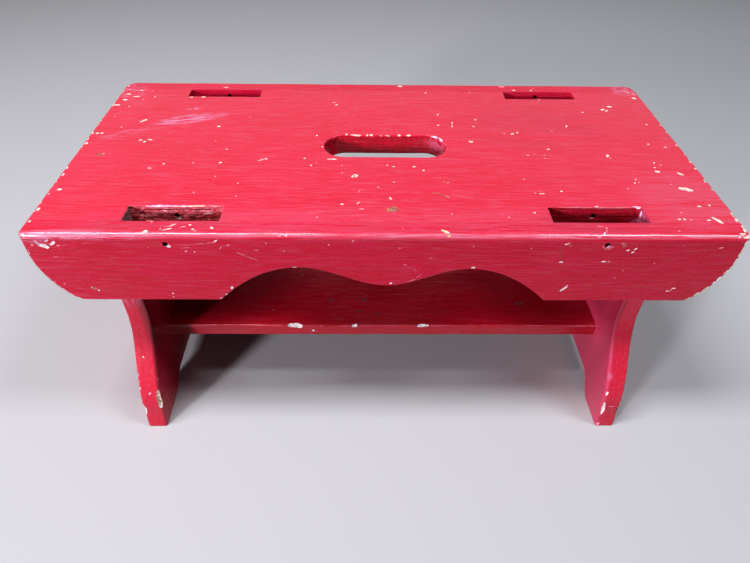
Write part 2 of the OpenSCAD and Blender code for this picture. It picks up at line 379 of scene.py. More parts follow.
# the front arris goes paler: partly worn paint and partly a painted highlight, with a gloss coat
frontRubAndSheen = {"sum": seatTop - frontFace, "pale": 0.16, "core": 0.40, "coat": 1.0}
# the sum at the shelf's own arris is 128, so only its very edge goes pale: a painted highlight line
shelfArrisSheen = {"sum": 129.6, "pale": 0.0, "core": 0.6, "coat": 0.0}
seatPaint = makePaint("seatPaint", "x", 1.0, topWearAndSheen)
apronPaint = makePaint("apronPaint", "x", 1.0, topWearAndSheen, frontRubAndSheen, 0.9, 0.19, 2.4, deep=tint(203, 7, 38),
                       full=tint(220, 22, 66), shine=0.24)
legPaint = makePaint("legPaint", "z", 1.4, legShadeAndSheen, specks=0.4, streaky=0.10)
# the shelf is painted darker than the other boards: painted shade under the seat
shelfPaint = makePaint("shelfPaint", "x", 1.2, shelfPaintedShade, shelfArrisSheen, specks=0.5, streaky=0.10,
                       deep=tint(173, 5, 25), full=tint(200, 17, 43))
# the sawn sockets' walls are painted darker than the top: painted shade in the recesses
socketPaint = makePaint("socketPaint", "x", 1.2, specks=0, streaky=0.1, ridge=2, deep=tint(155, 6, 27),
                        full=tint(206, 29, 53))
# the chiselled socket is painted much paler: rough worn paint and painted light on its shaded walls together
chiselPaint = makePaint("chiselPaint", "x", 2.0, specks=0, streaky=0.4, ridge=5, deep=tint(214, 44, 64),
                        full=tint(255, 126, 136))
holdPaint = makePaint("holdPaint", "x", 1.6, holdSheen, specks=0.4, streaky=0.15, ridge=2,
                      deep=tint(172, 4, 26), full=tint(224, 20, 50), shine=0.25)
chipLooks = {look: makeBare(*settings) for look, settings in bareLook.items()}

nailLook = {"low": tint(150, 150, 152), "high": tint(204, 204, 206), "waves": (900, 900, 900), "rough": 0.28}
nailSteel, tree, shader, place = newMaterial("wireSteel")
turned = place.noise(nailLook["waves"], 2)
feed(tree, shader, Base_Color=turned.step(0.3, 0.7).pick(nailLook["low"], nailLook["high"]),
     Roughness=turned * 0.2 + nailLook["rough"])
shader.inputs["Metallic"].default_value = 1


# small steps that every board goes through
def alone(*pieces):
    if bpy.context.object and bpy.context.object.mode != "OBJECT":
        bpy.ops.object.mode_set(mode="OBJECT")
    bpy.ops.object.select_all(action="DESELECT")
    for piece in pieces:
        piece.select_set(True)
    bpy.context.view_layer.objects.active = pieces[0]


# into edit mode with only the points, edges or faces that pass a test on their place
def choose(piece, kind, test):
    alone(piece)
    mesh = piece.data
    for group in (mesh.vertices, mesh.edges, mesh.polygons):
        group.foreach_set("select", [False] * len(group))
    bpy.context.tool_settings.mesh_select_mode = (kind == "VERT", kind == "EDGE", kind == "FACE")
    if kind == "FACE":
        for face in mesh.polygons:
            face.select = test(face.center / mm, face.normal)
    elif kind == "EDGE":
        for edge in mesh.edges:
            a, b = (mesh.vertices[i].co / mm for i in edge.vertices)
            edge.select = test(a, b)
    else:
        for point in mesh.vertices:
            point.select = test(point.co / mm)
    bpy.ops.object.mode_set(mode="EDIT")


def done():
    bpy.ops.object.mode_set(mode="OBJECT")


def modify(piece, kind, **settings):
    alone(piece)
    modifier = piece.modifiers.new(kind.title(), kind)
    for name, value in settings.items():
        setattr(modifier, name, value)
    bpy.ops.object.modifier_apply(modifier=modifier.name)


def settle(piece):
    alone(piece)
    bpy.ops.object.transform_apply(location=True, rotation=True, scale=True)
    return piece


# a squared board between two corners
def squared(name, low, high):
    bpy.ops.object.select_all(action="DESELECT")
    bpy.ops.mesh.primitive_cube_add(size=1, location=(at(*low) + at(*high)) / 2, scale=at(*high) - at(*low))
    board = settle(bpy.context.object)
    board.name = name
    return board


# a board sawn to an outline in its own plane and pushed to its thickness
# each knot is x, y, the way its curve comes in and the way it goes out; None is a straight line
def sawn(name, right, left, thick, turn):
    knots = right + [(-x, y, goes and (-goes[0], goes[1]), comes and (-comes[0], comes[1]))
                     for x, y, comes, goes in reversed(left)]
    bpy.ops.object.select_all(action="DESELECT")
    bpy.ops.curve.primitive_bezier_curve_add()
    drawn = bpy.context.object
    line = drawn.data.splines[0]
    line.bezier_points.add(len(knots) - 2)
    line.use_cyclic_u = True
    line.resolution_u = 14
    for point, (x, y, comes, goes) in zip(line.bezier_points, knots):
        point.handle_left_type = "FREE" if comes else "VECTOR"
        point.handle_right_type = "FREE" if goes else "VECTOR"
        point.co = at(x, y, 0)
        if comes:
            point.handle_left = at(x + comes[0], y + comes[1], 0)
        if goes:
            point.handle_right = at(x + goes[0], y + goes[1], 0)
    drawn.data.dimensions = "2D"
    drawn.data.fill_mode = "NONE"
    drawn.data.extrude = 0
    bpy.ops.object.convert(target="MESH")
    board = bpy.context.object
    board.name = name
    choose(board, "VERT", lambda p: True)
    bpy.ops.mesh.remove_doubles(threshold=0.00005)
    bpy.ops.mesh.edge_face_add()
    bpy.ops.mesh.extrude_region_move(TRANSFORM_OT_translate={"value": (0, 0, thick * mm)})
    bpy.ops.mesh.select_all(action="SELECT")
    bpy.ops.mesh.normals_make_consistent(inside=False)
    done()
    board.matrix_world = turn
    return settle(board)


# rounds arrises by a width for each; the first test that an edge passes gives its width
def roundOver(board, widths, segments=4):
    mesh = board.data
    weights = mesh.attributes.new("bevel_weight_edge", "FLOAT", "EDGE")
    most = max(width for test, width in widths)
    for edge in mesh.edges:
        a, b = (mesh.vertices[i].co / mm for i in edge.vertices)
        middle, run = (a + b) / 2, (b - a).normalized()
        for test, width in widths:
            if test(middle, run):
                weights.data[edge.index].value = width / most
                break
    modify(board, "BEVEL", limit_method="WEIGHT", width=most * mm, segments=segments, use_clamp_overlap=False,
           miter_outer="MITER_ARC")


# saws planes right through at a step in mm, so that a board has small faces to bend
def gridded(board, **every):
    nudge = 0.013  # keeps each saw cut off the edges that are there
    low = [min(v.co[i] for v in board.data.vertices) / mm for i in range(3)]
    high = [max(v.co[i] for v in board.data.vertices) / mm for i in range(3)]
    choose(board, "VERT", lambda p: True)
    for axis, step in every.items():
        i = "xyz".index(axis)
        way = [0, 0, 0]
        way[i] = 1
        count = max(2, round((high[i] - low[i]) / step))
        for n in range(1, count):
            spot = [0, 0, 0]
            spot[i] = (low[i] + (high[i] - low[i]) * n / count + nudge) * mm
            bpy.ops.mesh.select_all(action="SELECT")
            bpy.ops.mesh.bisect(plane_co=spot, plane_no=way)
    done()


def cut(board, *cutters):
    for cutter in cutters:
        modify(board, "BOOLEAN", operation="DIFFERENCE", object=cutter, solver="MANIFOLD",
               material_mode="TRANSFER")
        bpy.data.objects.remove(cutter)


# a round pin hole along y, with the near-black finish of painted shade inside
def drilled(x, z, fromY, toY, wide):
    bpy.ops.object.select_all(action="DESELECT")
    bpy.ops.mesh.primitive_cylinder_add(vertices=24, radius=wide / 2 * mm, depth=abs(toY - fromY) * mm,
                                        location=at(x, (fromY + toY) / 2, z), rotation=(radians(90), 0, 0))
    bpy.context.object.data.materials.append(chipLooks["hole"])
    return settle(bpy.context.object)


# flakes: uneven pebbles that are cut out of the surface and leave their own finish behind
# a chip is 0.3 mm deep if nothing else is said, and one longer than "breaks" falls into three
chipping = {"shapes": 8, "uneven": 0.30, "soft": 0.4, "deep": 0.3, "dome": 1.6, "breaks": 2.4}
flakeShapes = []
for seed in range(chipping["shapes"]):
    bpy.ops.object.select_all(action="DESELECT")
    bpy.ops.mesh.primitive_ico_sphere_add(subdivisions=3, radius=1)
    pebble = bpy.context.object
    bpy.ops.object.mode_set(mode="EDIT")
    bpy.ops.mesh.select_all(action="SELECT")
    bpy.ops.transform.vertex_random(offset=chipping["uneven"], uniform=0.2, normal=0.5, seed=seed)
    bpy.ops.mesh.vertices_smooth(factor=chipping["soft"])
    bpy.ops.object.mode_set(mode="OBJECT")
    flakeShapes.append(pebble)

slant = 0.707
upright = Matrix.Rotation(radians(90), 4, "X")
facings = {
    "top": ((0, 0, 1), Matrix()),
    "front": ((0, -1, 0), upright),
    "arris": ((0, -slant, slant), Matrix.Rotation(radians(45), 4, "X")),
    "leftEnd": ((-slant, 0, slant), Matrix.Rotation(radians(-45), 4, "Y")),
    "rightEnd": ((slant, 0, slant), Matrix.Rotation(radians(45), 4, "Y")),
    "leftSide": ((-1, 0, 0), Matrix.Rotation(radians(-90), 4, "Y")),
    "rightSide": ((1, 0, 0), Matrix.Rotation(radians(90), 4, "Y")),
    "leftFront": ((-slant, -slant, 0), Matrix.Rotation(radians(-45), 4, "Z") @ upright),
    "rightFront": ((slant, -slant, 0), Matrix.Rotation(radians(45), 4, "Z") @ upright),
}


# each flake: x, y, z in mm, length, width, turn in degrees, look, facing, and its depth if it has its own
# its place seeds it, so that boards that share one match
def flake(board, marks):
    rounds = []
    for x, y, z, long, wide, turn, look, facing, *deep in marks:
        roll = random.Random(round(x * 971 + y * 37 + z * 3))
        depth = deep[0] if deep else chipping["deep"]
        normal, lay = facings[facing]
        tall = depth * chipping["dome"]
        # where each bit lies along and across the flake, and its share of the length
        bits = [(0, 0, 0.46)]
        if long >= chipping["breaks"]:
            bits = [(0.06, 0, 0.40), (roll.uniform(-0.3, -0.18), roll.uniform(-0.2, 0.2), 0.26),
                    (roll.uniform(0.18, 0.32), roll.uniform(-0.2, 0.2), 0.22)]
        for along, across, share in bits:
            place = (Matrix.Translation(at(x, y, z) + Vector(normal) * (tall - depth) * mm) @ lay
                     @ Matrix.Rotation(radians(turn), 4, "Z")
                     @ Matrix.Translation(at(along * long, across * wide, 0)))
            size = (long * share * mm, wide * (share + 0.08) * mm, tall * mm, 1)
            piece = bpy.data.objects.new("flake", roll.choice(flakeShapes).data.copy())
            piece.matrix_world = place @ Matrix.Diagonal(size)
            piece.data.materials.append(chipLooks[look] if look else board.data.materials[0])
            bpy.context.scene.collection.objects.link(piece)
            # those that overlap are cut one after the other, in rounds
            spot, reach = place.translation, long * share * 1.5 * mm
            for group in rounds:
                if all((spot - other).length > reach + far for thing, other, far in group):
                    break
            else:
                group = []
                rounds.append(group)
            group.append((piece, spot, reach))
    for group in rounds:
        alone(*[piece for piece, spot, reach in group])
        if len(group) > 1:
            bpy.ops.object.join()
        cut(board, settle(bpy.context.object))


# the slow waves of an old board and the lumps of thick paint; the same for all, so that joints stay shut
# every board ends a hair smaller about the middle of the floor, to stay inside the model's box
age = {"wave": 55, "bow": 0.5, "lump": 11, "lumpHigh": 0.16, "shrink": (0.9985, 0.998, 0.998), "sole": 0.6,
       "crease": 38}


def clouds(name, size, depth):
    texture = bpy.data.textures.new(name, "CLOUDS")
    texture.noise_scale, texture.noise_depth, texture.cloud_type = size * mm, depth, "COLOR"
    return texture


def warp(board, texture, strength, **group):
    modify(board, "DISPLACE", texture=texture, texture_coords="LOCAL", direction="RGB_TO_XYZ",
           strength=strength * mm, mid_level=0.5, **group)


swell = clouds("boardSwell", age["wave"], 1)
lumps = clouds("paintLumps", age["lump"], 1)


def finish(board, *stands):
    board.data.validate()  # the many cuts can leave a doubled face
    warp(board, swell, age["bow"])
    warp(board, lumps, age["lumpHigh"])
    choose(board, "VERT", lambda p: True)
    bpy.ops.transform.resize(value=age["shrink"], center_override=(0, 0, 0))
    done()
    # the feet stand flat on the floor
    choose(board, "VERT", lambda p: p.z < age["sole"])
    bpy.ops.transform.resize(value=(1, 1, 0), center_override=(0, 0, 0))
    done()
    alone(board)
    bpy.ops.object.shade_smooth_by_angle(angle=radians(age["crease"]))
    modify(board, "WEIGHTED_NORMAL", keep_sharp=True, weight=60)
    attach(board, "root")
    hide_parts(*stands)


print("stool: seat board")
# sockets are their two ends, then their inner and outer wall; pins are x and z
seat = {
    "half": 209.8, "endRim": 1.2, "underRim": 1.0,
    "holdLong": 85, "holdWide": 30, "holdShift": (0.8, 0.3), "holdRim": 1.4,
    "sockets": {
        "frontLeft": (-155.3, -98.2, -73.8, -95), "frontRight": (98.3, 156.0, -73.4, -95),
        "rearLeft": (-154.6, -97.6, 76.6, 95), "rearRight": (99.2, 155.4, 76.3, 95),
    },
    "socketRim": 0.5,
    "pins": {-127.6: 161.2, 127.8: 161.8}, "rearPins": {-124.9: 163.0, 126.6: 163.9}, "pinWide": 3.2,
}
seatBoard = squared("seatBoard", (-seat["half"], -seam, seatLow), (seat["half"], seam, seatTop))
seatBoard.data.materials.append(seatPaint)

bpy.ops.object.select_all(action="DESELECT")
bpy.ops.mesh.primitive_cylinder_add(vertices=56, radius=seat["holdWide"] / 2 * mm, depth=0.03,
                                    location=(0, 0, 0.16))
slotCutter = settle(bpy.context.object)
slotCutter.data.materials.append(holdPaint)
choose(slotCutter, "VERT", lambda p: p.x > 0.01)
straight = seat["holdLong"] - seat["holdWide"]
bpy.ops.transform.translate(value=at(straight, 0, 0))
bpy.ops.mesh.select_all(action="SELECT")
bpy.ops.transform.translate(value=at(seat["holdShift"][0] - straight / 2, seat["holdShift"][1], 0))
done()
cutters = [slotCutter]
for name, (x1, x2, inner, outer) in seat["sockets"].items():
    notch = squared("notch", (x1, min(inner, outer), seatLow - 3), (x2, max(inner, outer), seatTop + 3))
    notch.data.materials.append(chiselPaint if name == "frontLeft" else socketPaint)
    cutters.append(notch)
cut(seatBoard, *cutters)


def near(value, goal):
    return abs(value - goal) < 0.01


# whether a place is at the hand hold or at the sockets
def atHold(p):
    return abs(p.x) < 60 and abs(p.y) < 20


def atSockets(p):
    return 95 < abs(p.x) < 158 and abs(p.y) < 88.5


roundOver(seatBoard, [
    (lambda m, r: near(m.z, seatTop) and atHold(m), seat["holdRim"]),
    (lambda m, r: near(m.z, seatLow) and atHold(m), seat["underRim"]),
    (lambda m, r: near(m.z, seatTop) and 90 < abs(m.x) < 160 and 70 < abs(m.y) < seam - 0.1,
     seat["socketRim"]),
    (lambda m, r: near(abs(m.x), seat["half"]) and near(m.z, seatTop), seat["endRim"]),
    (lambda m, r: near(abs(m.x), seat["half"]) and near(m.z, seatLow), seat["underRim"]),
])
pins = [drilled(x, z, -60, -95, seat["pinWide"]) for x, z in seat["pins"].items()]
pins += [drilled(x, z, 67, 95, seat["pinWide"]) for x, z in seat["rearPins"].items()]
cut(seatBoard, *pins)
gridded(seatBoard, x=3.6, y=3.6, z=3.2)

# chips, scuffs and dents of the top, read along it; y is from the front face
topMarks = [
    # rear left corner and the left end
    (-207.5, 196.6, 2.6, 2, 0, "pink"), (-195.5, 177.6, 6, 1.8, 0, "cream"),
    (-194.6, 189, 3.4, 1.7, 0, "cream"), (-202.5, 171.4, 4.2, 2.2, 0, "cream"),
    (-205, 190, 4, 1.6, 8, "pink"), (-203, 182, 4.6, 1.8, 0, "cream"),
    (-207.6, 103, 2.4, 3.6, 0, "cream"), (-207.8, 62, 1.8, 3, 0, "cream"), (-208, 40, 2, 2.6, 0, "pink"),
    (-207.6, 24, 2.2, 4, 0, "cream"), (-207.4, 12, 1.8, 2.4, 0, "cream"),
    (-205.6, 162.3, 5, 2.2, 6, "cream"), (-205.1, 117.2, 2.6, 2.1, 0, "cream"),
    (-201.8, 117.3, 2.3, 2, 0, "cream"), (-177.8, 136.8, 6.4, 2.6, 40, "cream"),
    (-180.7, 177.2, 1.8, 1.6, 0, "cream"), (-188.5, 172.5, 1.8, 1.6, 0, "pink"),
    (-191, 126.7, 1.8, 1.5, 0, "pink"), (-171.6, 107.8, 2.8, 2.1, 30, "cream"),
    (-168.2, 105.3, 2.3, 2, 0, "cream"), (-165.2, 108.3, 4.2, 1.6, -6, "cream"),
    (-120.8, 128.6, 3.2, 2, 0, "cream"), (-142.6, 177.3, 4.2, 1.7, 0, "cream"),
    (-128, 195.6, 5, 1.4, 0, "cream"), (-152, 177, 3.2, 1.4, 0, "cream"),
    (-199, 151, 1.5, 1.4, 0, "pink"), (-196, 160, 1.4, 1.3, 0, "cream"), (-186, 188, 1.5, 1.3, 0, "pink"),
    (-201, 143, 1.4, 1.3, 0, "pink"), (-100, 143, 1.8, 1.4, 0, "pink"), (-193, 88, 6.6, 4, 20, "brown"),
    (-191.6, 89, 2.6, 1.5, 20, "pink"), (-155, 70.5, 3.2, 2.4, 0, "pink"),
    (-147, 76, 1.8, 1.6, 0, "cream"), (-110, 78, 2.4, 2, 30, "cream"), (-109, 96, 1.6, 1.4, 0, "cream"),
    (-94, 53, 1.8, 1.5, 0, "pink"), (-83, 82, 6, 2.2, 28, "pink"), (-80, 83.4, 2.2, 1.4, 30, "cream"),
    (-163, 55, 1.5, 1.3, 0, "pink"), (-203.5, 45, 3.2, 2.6, 0, "cream"),
    # round the hand hold
    (-48.1, 116, 1.9, 1.6, 0, "cream"), (-43, 100, 1.5, 1.3, 0, "cream"),
    (-35.7, 83.4, 6.6, 1.8, 0, "cream"), (-54.2, 84.4, 1.7, 1.5, 0, "cream"),
    (-49.1, 75.2, 1.7, 1.5, 0, "cream"), (-45.9, 78.7, 1.3, 1.2, 0, "pink"),
    (-38, 169, 3.2, 2.0, 0, "pink"), (-36, 165, 2.6, 1.8, 20, "cream"),
    (-41.4, 17.5, 1.6, 1.5, 0, "pink"), (-20, 62.5, 4.6, 4.2, 0, "cream"),
    (-27.1, 30.7, 2.3, 2, 0, "cream"), (-16.9, 44.6, 2.6, 1.1, 60, "pink"),
    (-17.3, 31.9, 3, 1.1, 60, "cream"), (2.7, 37.1, 3.6, 1.7, 110, "cream"),
    (3.7, 25.7, 8, 6.4, 12, "brown"), (4.4, 25.4, 5, 2.4, 24, "cream"), (-15, 25.9, 4, 1.0, 0, "pink"),
    (-4.7, 49.4, 1.5, 1.3, 0, "pink"), (5.4, 55.5, 1.5, 1.4, 0, "pink"), (31, 43.6, 5, 1.3, -8, "brown"),
    (34.6, 42.3, 3.6, 1.3, -34, "brown"), (37.8, 40, 4.8, 1.7, -32, "brown"),
    (38.8, 38.7, 2.6, 1, -30, "pink"), (37.4, 56.4, 2.3, 1.7, 0, "brown"),
    (39.9, 55.4, 2.8, 1.8, 20, "pink"), (5.6, 74.4, 1.7, 1.4, 0, "cream"),
    (1.6, 75.7, 1.7, 1.4, 0, "pink"), (19.3, 74.5, 2.5, 1.7, 0, "cream"),
    (25.3, 70, 1.8, 1.5, 0, "cream"), (62, 108, 3, 2.6, 0, "cream"), (15, 200.6, 4.5, 2.6, 0, "cream"),
    (35.5, 188, 1.8, 1.5, 0, "cream"),
    # thin scratches right of the hand hold
    (42, 150, 2.2, 1.1, 90, "cream"), (40.9, 132.6, 1.9, 1.6, 0, "cream"),
    (51.3, 134, 8, 0.8, 90, "pink"), (51.7, 136.9, 1.9, 1.5, 0, "cream"),
    (51, 130.4, 1.9, 1.5, 0, "cream"), (67, 131, 1.8, 1.5, 0, "cream"), (70, 142, 1.5, 1.3, 0, "cream"),
    (88, 120.5, 2, 1.4, 0, "pink"), (94, 120, 2.6, 1.8, 20, "cream"), (98, 122, 1.9, 1.5, 0, "cream"),
    (115, 98.5, 2.6, 1.7, 0, "cream"), (99, 90, 1.5, 1.3, 0, "cream"), (104, 92, 1.3, 1.2, 0, "pink"),
    (110, 86, 1.3, 1.2, 0, "pink"), (110, 90, 3.2, 1.1, 40, "pink"),
    (136.5, 132.5, 4.4, 1.3, 70, "cream"), (124, 125, 2, 1.4, 0, "pink"),
    (154, 90, 4.2, 2.4, 60, "cream"), (155, 87, 2.2, 1.4, 70, "pink"), (155, 155, 2, 1.5, 0, "cream"),
    (98, 43.5, 4, 1.4, 0, "cream"), (94, 44, 2, 1, 0, "pink"), (111, 46, 2, 1.7, 0, "cream"),
    # right end and its corners
    (172, 160, 3.6, 2.6, 20, "cream"), (174.5, 158, 2.6, 2.2, 0, "cream"),
    (179, 165, 4.6, 2.8, -15, "cream"), (198.1, 135.9, 1.8, 1.5, 0, "cream"),
    (198.8, 102, 3.2, 2, 0, "pink"), (188.5, 106.3, 1.9, 1.6, 0, "cream"),
    (181.1, 69.9, 3.8, 2.8, 0, "cream"), (183.1, 81.3, 1.6, 1.4, 0, "cream"),
    (186.4, 78.1, 1.5, 1.4, 0, "pink"), (181.4, 75.2, 1.6, 1.4, 0, "cream"),
    (184.2, 54.6, 1.5, 1.4, 0, "pink"), (195.5, 67.1, 4.8, 2.4, -40, "cream"),
    (191.3, 49.1, 9.5, 4.4, -30, "cream"), (191.5, 49, 3, 1.5, -30, "wood"),
    (163, 60, 1.6, 1.4, 0, "cream"), (161, 56, 1.6, 1.2, 60, "cream"), (164, 56.5, 1.5, 1.2, 0, "pink"),
    (150, 60, 2.2, 1.8, 0, "brown"), (196.8, 15.8, 7.6, 2.8, -64, "cream"),
    (191.5, 16, 2.7, 1.5, 0, "cream"), (191.9, 30.1, 2.7, 1.6, 0, "cream"),
    (198.7, 31.3, 1.9, 1.6, 0, "cream"), (178.2, 23.4, 1.9, 1.6, 0, "pink"),
    (174.1, 16.6, 2.6, 1.3, 0, "cream"), (177.3, 16.7, 1.9, 1.3, 0, "cream"),
    (169.5, 5.3, 1.5, 1.3, 0, "pink"), (205.3, 2.9, 4.2, 1.8, 0, "cream"),
    (204, 181, 4.2, 2.4, -40, "cream"), (202, 193, 6, 3, -35, "pink"), (206, 188, 4, 2, -50, "pink"),
    (100, 201.2, 6, 2.4, 0, "pink"), (109, 194.4, 2.6, 1.6, 0, "cream"), (123, 194, 2.2, 1.6, 0, "cream"),
    (126, 177, 2.2, 1.4, 30, "pink"), (124, 172, 1.6, 1.2, 0, "pink"),
    (128.5, 29.4, 2.6, 1.2, 0, "cream"), (89, 23, 1.8, 1.5, 0, "cream"),
    (152, 29.2, 3.4, 1.4, 0, "lilac"), (39, 21, 1.5, 1.3, 0, "pink"),
    # along the front
    (-138.3, 2.9, 4, 2.6, 40, "cream"), (-126, 8.0, 5, 1.0, 12, "pink"),
    (-126.3, 5.0, 6, 1.0, 20, "cream"), (-123.7, 9.4, 4.4, 0.9, 24, "cream"),
    (-130.2, 5.2, 2.6, 1.0, 70, "pink"), (-114.1, 9.3, 1.6, 1.4, 0, "cream"),
    (-111.6, 5.1, 1.8, 1.5, 0, "cream"), (-110, 3.8, 1.5, 1.3, 0, "pink"),
    (-136.7, 11.8, 1.4, 1.2, 0, "pink"), (-101, 6.5, 3, 1.6, -40, "cream"),
    (-118, 7.4, 5, 0.9, 16, "pink"), (33.6, 3.6, 6.4, 2.8, -46, "raw"),
    (124.6, 9.4, 4.6, 0.8, -8, "pink"), (127.9, 7.8, 2.6, 0.8, -70, "pink"),
    (127, 5.2, 3.2, 0.8, 68, "pink"), (125, 2.8, 3.2, 1.1, 50, "lilac"), (122.1, 7.1, 5, 3.4, 20, None),
]
seatFlakes = [(x, y + frontFace, seatTop, long, wide, turn, look, "top")
              for x, y, long, wide, turn, look in topMarks]
# the far rim of the hand hold has lost its edge in places
for x, y, long in ((-27, 120, 1.8), (-20, 119, 8), (-12, 119.2, 2), (-9, 119.4, 3), (-2, 118.4, 3),
                   (3, 118.6, 4), (11, 119.4, 3), (18, 119.2, 3.4)):
    seatFlakes.append((x, y - 103.4, 167.6, long, 1.8, 0, "cream", "arris", 0.6))
# chips along the two ends: those that stand out first, then a scatter between them
endChips = {
    "leftEnd": (-1, [198, 173.7, 168.1, 150.6, 136.3, 127.5, 107, 54]),
    "rightEnd": (1, [190, 182, 163.7, 149.5, 107.3, 83.4, 73.7, 59.4, 21]),
}
dice = random.Random(11)
for facing, (side, places) in endChips.items():
    places += [dice.uniform(14, 200) for n in range(16)]
    for y in places:
        big = dice.uniform(1.2, 2.6) if dice.random() < 0.7 else 4.0
        look = dice.choice(["cream", "cream", "pink"])
        seatFlakes.append((side * 209.0, y + frontFace, 167.4, big * 0.8, big, 0, look, facing, 0.9))
# bare spots that show along the right end
for y, long, thin in ((33, 1.6, 1.2), (3, 1.8, 1.2), (-19.6, 2.6, 1.5), (-28.3, 2.3, 1.4), (-43.9, 2.6, 2.0),
                      (-80.5, 5.0, 1.6), (-85.5, 4.0, 2.2), (-96, 4.0, 2.0)):
    seatFlakes.append((208.2, y, 167.9, long, thin, 84, "cream", "top", 0.5))
seatFlakes += [
    # the two lilac streaks at the right end of the hand hold are a painted highlight on its rim
    (36.4, 13.6, 167.5, 6, 1.8, -28, "lilac", "top", 0.6),
    (40.6, 9.6, 167.5, 5, 1.8, -62, "lilac", "top", 0.6),
    (-20.2, -39.4, 167.7, 2, 1.6, 0, None, "top", 0.5),
    (208.2, -101.4, 167.4, 4.6, 4, 0, "cream", "top", 0.7),
    (209, -93, 167.6, 2.6, 5.4, 10, "cream", "top", 0.7),
]
# a chip on a joint is cut into both boards
acrossJoint = 3
flake(seatBoard, [m for m in seatFlakes if abs(m[1]) < seam + acrossJoint])


# roughens the faces that pass a test, up to the rim: cuts in each, the size of the lumps and their height
def ruffle(board, name, test, cuts, size, deep):
    choose(board, "FACE", test)
    bpy.ops.mesh.subdivide(number_cuts=cuts)
    done()
    group = board.vertex_groups.new(name=name)
    picked = {i for face in board.data.polygons if test(face.center / mm, face.normal) for i in face.vertices}
    keep = [i for i in picked if board.data.vertices[i].co.z / mm < seatTop - 0.7]
    group.add(keep, 1.0, "ADD")
    warp(board, clouds(name, size, 2), deep, vertex_group=name)


# the front left socket was chopped with a chisel, the others were sawn
def atChiselled(c):
    return atSockets(c) and c.x < 0 and c.y < -70


def atSawn(c):
    return atSockets(c) and (c.x > 0 or c.y > 0)


ruffle(seatBoard, "chiselled", lambda c, n: abs(n.z) < 0.5 and atChiselled(c), 3, 3.2, 1.6)
ruffle(seatBoard, "sawnWalls", lambda c, n: abs(n.z) < 0.5 and atSawn(c), 1, 4.5, 0.5)
ruffle(seatBoard, "holdWall", lambda c, n: abs(n.z) < 0.5 and atHold(c), 1, 5.0, 0.6)


# gives the faces that pass a test another finish
def repaint(board, look, test):
    board.data.materials.append(chipLooks[look])
    for face in board.data.polygons:
        if test(face.center / mm, face.normal):
            face.material_index = len(board.data.materials) - 1


# the end walls of the two front sockets, below their rims
def endWall(c):
    return -88 < c.y < -72 and c.z < seatTop - 0.7


repaint(seatBoard, "grime", lambda c, n: n.x > 0.5 and c.x < -152 and endWall(c))
repaint(seatBoard, "mauve", lambda c, n: n.x < -0.5 and 153 < c.x < 158 and endWall(c))
# what the chisel left in the two front sockets: bare wood and grime; the pale lines along the rims, the lilac
# on the right socket's wall and the white under the left pin hole are painted highlights, and the dark line
# under the left rim is painted shade
flake(seatBoard, [
    (-150, -73.8, 163, 8, 1.2, 60, "pink", "front", 0.5),
    (-146, -73.8, 160, 7, 1.0, -50, "pink", "front", 0.5),
    (-141, -73.8, 162, 9, 1.0, -24, "pink", "front", 0.5),
    (-116, -73.8, 161.5, 12, 0.9, -3, "pink", "front", 0.5),
    (-127, -73.8, 165.4, 46, 1.0, 0, "dark", "front", 0.6),
    (-138, -73.7, 167.8, 16, 1.9, 0, "lilac", "arris", 0.8),
    (-118.6, -73.7, 167.8, 20, 1.6, 1, "cream", "arris", 0.7),
    (-103.5, -73.7, 167.8, 10, 1, 0, "pink", "arris", 0.6),
    (-128, -73.7, 167.8, 26, 1.2, 0, "lilac", "arris", 0.6),
    (-134.5, -73.8, 163.6, 11, 0.9, 3, "pink", "front", 0.7),
    (-108, -73.8, 162.9, 7.4, 0.9, 2, "cream", "front", 0.7),
    (-104.6, -73.8, 159.3, 12, 4.2, 4, "orange", "front", 0.6),
    (-114, -73.8, 158, 9, 1.6, 0, "orange", "front", 0.9),
    (-144.8, -73.8, 158, 6, 2.2, 0, "orange", "front", 0.9),
    (-112, -73.8, 164.6, 9, 0.9, -3, "pink", "front", 0.6),
    (-127.0, -73.8, 159.2, 5.0, 1.9, 0, "white", "front", 0.8),
    (127, -73.4, 167.8, 54, 0.8, 0, "pink", "arris", 0.5),
    (154, -73.4, 167.7, 3.6, 2.2, 0, "lilac", "arris", 0.8),
    (156, -75.2, 164.2, 4, 2.6, 0, "lilac", "leftSide", 0.9),
    (156, -78.8, 158.6, 5, 2.2, 20, "lilac", "leftSide", 0.8),
    (153.6, -73.4, 158.4, 5, 4, 30, "mauve", "front", 0.5),
    (127.2, -73.4, 160.2, 3.8, 1.1, 0, "pink", "front", 0.7),
])
finish(seatBoard, "seat_board")

print("stool: aprons")
# an arch is its top's place and height, and where it ends; the pull is the length of a curve's handle
# arrises, crown, corners and feet are how wide each edge is rounded
apron = {
    "high": seatTop - apronLow, "thick": -seam - frontFace, "half": 209.8, "foot": 191.5,
    "bow": (11.7, 9.6), "shoulder": 39, "pull": 15.1,
    "front": {"right": (50.8, 26.2, 100.2), "left": (52.8, 27.0, 103.0), "dip": 12.5, "planRound": 0,
              "arris": 3.2, "corner": 2.6},
    "rear": {"right": (51.5, 26.5, 102.0), "left": (51.5, 26.5, 102.0), "dip": 12.5, "planRound": 8.5,
             "arris": 1.2, "corner": 1.4},
    "faceArris": 1.1, "backArris": 0.8, "endArris": 2.2, "crown": 1.2, "leftFoot": 9.0, "rightFoot": 3.0,
}


# half of an apron: dip, arch, lower edge and round end
def apronHalf(peak, rise, foot, dip):
    a = apron
    return [
        (0, dip, (-0.36 * peak, 0), (0.36 * peak, 0)),
        (peak, rise, (-0.36 * peak, 0), ((foot - peak) / 3, 0)),
        (foot, 0, ((peak - foot) / 3, rise * 2 / 3), None),
        (a["foot"], 0, None, a["bow"]),
        (a["half"], a["shoulder"], (0, -a["pull"]), None),
        (a["half"], a["high"], None, None),
    ]


